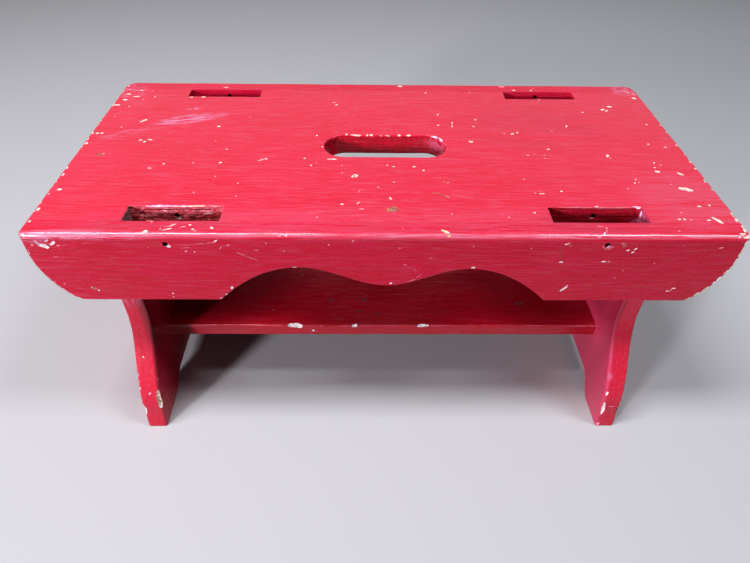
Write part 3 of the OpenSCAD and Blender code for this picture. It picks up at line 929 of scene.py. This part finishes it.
# the middle knot of the left half is the same as that of the right one, so it is left out
def makeApron(name, shape):
    right = apronHalf(*shape["right"], shape["dip"])
    left = apronHalf(*shape["left"], shape["dip"])[1:]
    board = sawn(name, right, left, apron["thick"], Matrix.Translation(at(0, -seam, apronLow)) @ upright)
    board.data.materials.append(apronPaint)
    half = apron["half"]
    if shape["planRound"]:
        block = squared("block", (-half, frontFace, 100), (half, -50, 200))
        choose(block, "EDGE", lambda a, b: near(a.x, b.x) and near(a.y, b.y) and a.y < frontFace + 1)
        bpy.ops.mesh.bevel(offset=shape["planRound"] * mm, segments=7, affect="EDGES")
        done()
        modify(board, "BOOLEAN", operation="INTERSECT", object=block, solver="MANIFOLD")
        bpy.data.objects.remove(block)
    close = 0.1
    top, low, face, back = seatTop - close, apronLow + close, frontFace + close, -seam - close
    roundOver(board, [
        (lambda m, r: m.z > top and (m.y < face or shape["planRound"] and m.y < back - 0.4), shape["arris"]),
        (lambda m, r: m.y < face and abs(m.x) > half - 0.05, shape["corner"]),
        (lambda m, r: m.y < face and abs(m.x) > apron["foot"] + close and m.z > low,
         min(shape["corner"], apron["endArris"])),
        (lambda m, r: m.y < face, apron["faceArris"]),
        (lambda m, r: m.y > back and m.z < seatLow - 1 and abs(m.x) < half - 0.05, apron["backArris"]),
        (lambda m, r: abs(r.y) > 0.9 and m.z > top, apron["crown"]),
        (lambda m, r: abs(r.y) > 0.9 and m.z < low and m.x < -150, apron["leftFoot"]),
        (lambda m, r: abs(r.y) > 0.9 and m.z < low and m.x > 150, apron["rightFoot"]),
    ], 5)
    return board


frontApron = makeApron("frontApron", apron["front"])
cut(frontApron, *[drilled(x, z, -110, -80, seat["pinWide"]) for x, z in seat["pins"].items()])
gridded(frontApron, x=3.6, z=3.6, y=4)

# marks of the front face; z is from the top, and less than 0 below it
faceMarks = [
    (-197.4, -8.4, 6.2, 3.2, -30, "cream", 0.5), (-191.8, -6.4, 4.6, 2.2, 34, "cream", 0.4),
    # the lilac marks at the left corner are painted highlights
    (-200.6, -6.4, 4.4, 1.2, -42, "lilac"), (-194.6, -4.8, 3, 1.4, 30, "lilac"),
    (-201, -5, 2.4, 1.6, 0, "pink"), (-204, -8, 2, 1.2, 0, "pink"), (-189, -8, 2.2, 1.4, 0, "pink"),
    (-117, -12, 1.8, 1.6, 0, "pink"), (-116, -7.4, 9, 0.6, 2, "blush"), (-108, -6.6, 9, 0.5, 4, "blush"),
    (-101, -5.6, 6, 0.6, 6, "pink"), (-98.6, -4.4, 2.6, 0.9, 24, "cream"),
    (-117, -9.6, 6, 0.5, 8, "blush"), (-112, -12.4, 1.6, 1.2, 0, "pink"),
    (-92, -7.4, 2.4, 0.9, 24, "pink"), (-96.4, -9.4, 2.4, 0.7, 40, "blush"),
    (-83.6, -15.2, 9, 0.6, -24, "blush"), (-78.6, -17.8, 7, 0.5, -22, "blush"),
    (-86, -13.6, 4, 0.8, -26, "pink"), (-76, -11, 3, 0.8, 0, "pink"), (-208, -30, 2.4, 1.4, 60, "pink"),
    (-205, -33, 4, 1.4, 52, "pink"), (-202, -37, 3, 1.2, 48, "pink"), (-179, -41.5, 3.6, 3.0, 0, "brown"),
    (-180.5, -41, 1.8, 1.3, 20, "pink"), (-177, -43.4, 1.6, 1.2, 0, "cream"),
    (-196, -38, 1.8, 1.4, 0, "pink"), (-132, -46, 1.4, 1.2, 0, "cream"),
    (-132.5, -49, 1.3, 1.1, 0, "pink"), (6.8, -8, 3.4, 2.6, 0, None, 0.4),
    (7.6, -9.4, 2.2, 0.7, 0, "blush", 0.2), (-34, -7, 1.4, 1.2, 0, "pink"),
    (-20, -4, 1.4, 1.2, 0, "pink"), (3, -37, 1.8, 1.4, 0, "cream"), (6, -38.6, 3, 0.9, -60, "pink"),
    (15, -35, 7, 0.6, 24, "blush"), (20, -31, 5, 0.5, 40, "blush"), (17, -26, 4, 0.5, -50, "blush"),
    (26, -17, 3, 0.6, 50, "blush"), (11, -22, 2.4, 0.8, 0, "pink"), (52, -24, 3, 1.2, 0, "cream"),
    (-55, -24.4, 3, 1.0, 0, "cream"), (101.6, -10, 6, 0.5, 105, "brown", 0.2),
    (102.9, -15, 7, 0.5, 105, "brown", 0.2), (103.8, -19.4, 2.4, 1.3, 0, "cream"),
    (103.6, -5.9, 1.8, 1.1, 0, "cream"), (106.5, -6.9, 2.8, 1.8, 0, "brown"),
    (105, -5.2, 1.8, 1.2, 0, "pink"), (132, -19, 1.6, 1.2, 0, "pink"), (129, -19, 3, 1.1, 6, "cream"),
    (137.7, -6.7, 3.4, 2.4, 10, "brown"), (136.4, -5.2, 2.4, 1.2, 0, "pink"),
    (140.7, -10.2, 2.3, 0.9, 20, "cream"), (145, -9.2, 2.6, 1.1, 40, "cream"),
    (144.1, -11.7, 2.2, 0.9, 30, "cream"), (110.5, -41.4, 5.4, 1.7, 52, "cream"),
    (112, -39, 2.2, 1.3, 60, "lilac"), (195, -8, 3.4, 1.0, 8, "pink"), (178, -42.3, 3.2, 0.9, 60, "pink"),
    (179.4, -40.6, 2.4, 1.2, 0, "cream"), (176, -43, 1.6, 1.2, 0, "cream"),
    (140, -32, 1.4, 1.0, 0, "blush"), (143, -26, 1.2, 1.0, 0, "blush"),
    # the pale marks round the two pin holes are dents that also give painted highlights on their lips
    (-126.3, -8.2, 3.2, 2.4, -30, "cream", 0.8), (-131.0, -7.2, 2.2, 1.2, 10, "brown", 0.4),
    (128.8, -7.7, 2.8, 1.2, 24, "lilac", 0.7), (125.6, -7.6, 2.2, 0.5, -66, "pink", 0.3),
    (127.2, -9.3, 2.3, 0.6, -24, "pink", 0.3), (129.4, -9.3, 2.3, 0.6, 24, "pink", 0.3),
    (131, -7.8, 2.2, 0.5, 66, "pink", 0.3), (-99, -47, 2.2, 1.4, 30, "cream"),
    (-95, -41, 2.6, 1.6, 60, "cream"), (-103, -50, 2.4, 1.4, 20, "pink"),
    (-60, -12, 1.2, 0.9, 0, "blush"), (-70, -6, 1.4, 1.0, 0, "blush"), (50, -8, 1.2, 0.9, 0, "blush"),
    (84, -9, 1.1, 0.8, 0, "blush"), (160, -20, 1.2, 0.9, 0, "blush"),
]
# the front is lit more dimly than the top, so its chips take whiter tones than the top's to look as bright
# there: painted light
frontLitLooks = {"cream": "white", "pink": "rose", "blush": "pink"}
apronFlakes = [(x, frontFace, seatTop + z, long, wide, turn, frontLitLooks.get(look, look), "front", *deep)
               for x, z, long, wide, turn, look, *deep in faceMarks]
apronFlakes += [m for m in seatFlakes if m[1] < acrossJoint - seam]
# the right round end has lost paint along its arris: a broken pale line, wider than at the left; the rose and
# lilac line along the left end is a painted highlight on its arris
ends = {
    "right": {"side": 1, "wide": 2.0, "looks": ("white", "raw", "beige"), "gap": 3.0},
    "left": {"side": -1, "wide": 1.8, "looks": ("rose", "lilac", "rose"), "gap": 6.0},
}
foot, half, shoulder = apron["foot"], apron["half"], apronLow + apron["shoulder"]
rim = interpolate_bezier((foot, frontFace, apronLow),
                         (foot + apron["bow"][0], frontFace, apronLow + apron["bow"][1]),
                         (half, frontFace, shoulder - apron["pull"]), (half, frontFace, shoulder), 48)
rim += [Vector((half, frontFace, shoulder + n)) for n in range(1, 12)]
for end in ends.values():
    n = 1
    while n < len(rim) - 2:
        run = (rim[n + 1] - rim[n - 1]).normalized()
        long, thin = dice.uniform(2.2, 6.0), end["wide"] * dice.uniform(0.45, 1.2)
        spot = rim[n] - Vector((run.z, 0, -run.x)) * (0.9 + thin * 0.3)
        slope = degrees(atan2(run.z, run.x * end["side"])) + dice.uniform(-9, 9)
        look = dice.choice(end["looks"])
        apronFlakes.append((end["side"] * spot.x, frontFace, spot.z, long, thin, slope, look, "front", 1.0))
        n += round(long * 0.8 + dice.uniform(0.4, end["gap"]))
# the lilac ones at the left end of the arris are a painted highlight
for x, big, look in ((-207, 3.0, "lilac"), (-203, 2.2, "lilac"), (207, 3.6, "cream"), (203, 2.0, "cream"),
                     (-62, 3.0, "pink"), (-58, 2.0, "cream"), (35, 2.6, "raw"), (122, 2.6, "pink")):
    apronFlakes.append((x, frontFace + 0.8, seatTop - 0.8, big, big * 0.6, 0, look, "arris", 0.6))
flake(frontApron, apronFlakes)
finish(frontApron, "front_apron")

# made like the front one and then turned about, so its pin holes are drilled at the opposite x
rearApron = makeApron("rearApron", apron["rear"])
cut(rearApron, *[drilled(-x, z, -110, -80, seat["pinWide"]) for x, z in seat["rearPins"].items()])
alone(rearApron)
rearApron.matrix_world = Matrix.Rotation(radians(180), 4, "Z")
settle(rearApron)
gridded(rearApron, x=3.6, z=3.6, y=4)
flake(rearApron, [m for m in seatFlakes if m[1] > seam - acrossJoint])
finish(rearApron, "rear_apron")

print("stool: legs")
# the hollow and its ends are a little different on the two panels, as is the front flare
# a pull is the length of a curve's handle, and the heel is the outer edge that stands on the floor
leg = {
    "toe": 118.8, "ankle": (116.4, 14), "waist": 93, "pull": 28.4,
    "arris": 1.9, "sideArris": 0.8, "soleArris": 1.2,
    "left": {"hollow": 10, "rise": 68, "pad": 91, "pull": 28.4, "heel": 3.6},
    "right": {"hollow": 15, "rise": 74, "pad": 95, "pull": 35.0, "heel": 1.8},
}


def legHalf(shape, pull):
    return [
        (0, shape["hollow"], None, None),
        (shape["rise"], shape["hollow"], None, (7.9, 0)),
        (shape["pad"], 0, (-7.9, 0), None),
        (leg["toe"], 0, None, None),
        (*leg["ankle"], (0.6, -4), (0, pull)),
        (seam, leg["waist"], (0, -leg["pull"]), None),
        (seam, seatLow, None, None),
    ]


def makeLeg(name, side, shape):
    stand = Matrix.Translation(at(legInner if side > 0 else -legOuter, 0, 0))
    turn = Matrix.Rotation(radians(90), 4, "Z") @ upright
    back, front = legHalf(shape, leg["pull"]), legHalf(shape, shape["pull"])[1:]
    board = sawn(name, back, front, legOuter - legInner, stand @ turn)
    close = 0.1
    roundOver(board, [
        (lambda m, r: m.z < close and abs(m.x) > legOuter - close, shape["heel"]),
        (lambda m, r: abs(r.x) > 0.9 and m.z < close, leg["soleArris"]),
        (lambda m, r: abs(r.x) > 0.9, 0.0),
        (lambda m, r: m.z > seatLow - close, 0.0),
        (lambda m, r: abs(m.y) > seam - close and m.z > 100, leg["sideArris"]),
        (lambda m, r: m.z < close, leg["soleArris"]),
        (lambda m, r: abs(m.y) < shape["pad"] + close, leg["soleArris"]),
        (lambda m, r: True, leg["arris"]),
    ], 4)
    board.data.materials.append(legPaint)
    gridded(board, y=3.8, z=3.8, x=5)
    return board


leftLeg = makeLeg("leftLeg", -1, leg["left"])
flake(leftLeg, [
    (-160.6, -114.0, 27, 12, 4.6, 84, "beige", "front", 1.5),
    (-160.5, -112.6, 34, 9, 2.8, 86, "beige", "front", 1.4),
    (-160.6, -113.4, 30.5, 8, 3.8, 90, "beige", "front", 1.5),
    (-160.9, -115.2, 21.8, 5, 2.8, 80, "white", "front", 1.1),
    (-173.0, -115.0, 16.5, 12, 4.6, 88, "white", "leftFront", 1.9),
    # from here the small rose, white and lilac flakes are painted highlights on nicks of the front arrises
    (-173.2, -112.8, 26, 4.4, 2.0, 84, "rose", "leftFront", 1.5),
    (-173.2, -110.6, 36, 3.6, 1.8, 80, "white", "leftFront", 1.4),
    (-173.2, -106.6, 46, 4, 2, 80, "lilac", "leftFront", 1.4),
    (-173.2, -108.6, 41, 3, 1.6, 80, "rose", "leftFront", 1.3),
    (-159.9, -107, 42, 2.4, 1.8, 0, "rose", "rightSide", 0.4),
    (-166.8, -112.6, 33, 2.6, 2.2, 20, "rose", "front", 0.6),
    (-163.4, -105.6, 47, 5, 1.6, 84, "rose", "front", 0.3),
    (-168, -100, 58, 1.5, 1.3, 0, "white", "front", 0.4),
    (-174, -117.6, 6, 5, 3, 80, None, "leftFront", 1.6),
])
finish(leftLeg, "left_leg")
rightLeg = makeLeg("rightLeg", 1, leg["right"])
flake(rightLeg, [
    (162.0, -115.6, 18.5, 14, 2.8, 98, "white", "front", 1.2),
    (161.4, -113.6, 33.6, 3.8, 2.6, 80, "white", "front", 1.0),
    # a painted highlight on the inner front arris
    (162.6, -106.6, 57, 6, 1.6, -8, "rose", "front", 0.7),
    (169.6, -112, 42.6, 2.8, 2.3, 50, "white", "front", 0.9),
    (161.6, -118.4, 2.4, 3.6, 2.8, 40, "rose", "front", 1.2),
    (167.3, -116, 21, 4.4, 1.0, 0, "rose", "front", 0.4),
    (174, -109.0, 51.5, 6, 9, 90, None, "rightFront", 4.4),
    (173.6, -111.2, 45, 8, 5, 90, None, "rightFront", 2.2),
    (173.6, -113.6, 36.5, 3.2, 4, 90, None, "rightFront", 2.0),
    (174, -115.4, 23.5, 6, 9, 90, None, "rightFront", 4.2),
    (173.6, -116.4, 17, 8, 5, 90, None, "rightFront", 2.2),
    (173.6, -117.2, 8, 3, 4, 90, None, "rightFront", 2.0),
    (173.6, -117.8, 2.5, 3.5, 4, 90, None, "rightFront", 2.4),
    # the rose nicks on the outer front arris are painted highlights
    (172.6, -109.6, 49.5, 2.6, 1.8, 40, "rose", "front", 0.8),
    (172.4, -112.6, 39, 2.4, 1.6, 40, "rose", "front", 0.8),
    (172.6, -106.8, 60, 2.4, 1.8, 60, "rose", "front", 0.7),
    (166, -110, 49, 1.4, 1.2, 0, "rose", "front", 0.4),
])
finish(rightLeg, "right_leg")

print("stool: shelf")
# its ends go a little way into the legs
shelf = {"half": 160.6, "deep": 70, "arris": 1.5, "underArris": 1.0}
shelfBoard = squared("shelfBoard", (-shelf["half"], -shelf["deep"], shelfLow),
                     (shelf["half"], shelf["deep"], shelfTop))
shelfBoard.data.materials.append(shelfPaint)
roundOver(shelfBoard, [
    (lambda m, r: abs(r.x) > 0.9 and m.z > shelfTop - 0.1, shelf["arris"]),
    (lambda m, r: abs(r.x) > 0.9, shelf["underArris"]),
])
gridded(shelfBoard, x=4, y=4, z=4)
flake(shelfBoard, [
    (-65, -69.6, 57.6, 10, 7.0, 4, "white", "arris", 1.1),
    (-62.4, -69.8, 56.6, 5, 4.4, -20, "white", "arris", 1.1),
    (-21, -69.6, 57.6, 5, 3.4, 0, "white", "arris", 0.8),
    (29, -69.6, 57.6, 8, 4.0, 4, "white", "arris", 0.9),
    (33, -69.6, 57.8, 3.4, 2.4, 20, "white", "arris", 0.7),
    (-65.4, -69.0, 58, 8, 3.6, 6, "white", "top", 0.5), (28.6, -69.2, 58, 5, 2.0, 0, "white", "top", 0.4),
    (-51.6, -70, 52.6, 2.2, 1.8, 0, "white", "front"),
    (-46, -69.4, 57.0, 2.4, 1.2, 0, "rose", "arris", 0.9),
    (-40, -43, 58, 4.4, 3.6, 0, "smudge", "top", 0.2), (-14, -42, 58, 4.2, 4.0, 0, "smudge", "top", 0.2),
    (-17, -55, 58, 4.6, 3.6, 0, "smudge", "top", 0.2), (-3, -58, 58, 4.0, 3.2, 0, "smudge", "top", 0.2),
    (106, -46, 58, 6.4, 5.0, 0, "smudge", "top", 0.2),
])
finish(shelfBoard, "shelf")

for pebble in flakeShapes:
    bpy.data.objects.remove(pebble)
for name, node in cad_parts.items():
    if name.endswith("nails"):
        node.data.materials.clear()
        node.data.materials.append(nailSteel)
for board in (seatBoard, frontApron, rearApron, leftLeg, rightLeg, shelfBoard):
    print("stool:", board.name, len(board.data.polygons), "faces,", len(board.data.materials), "materials")


print("stool: ready")
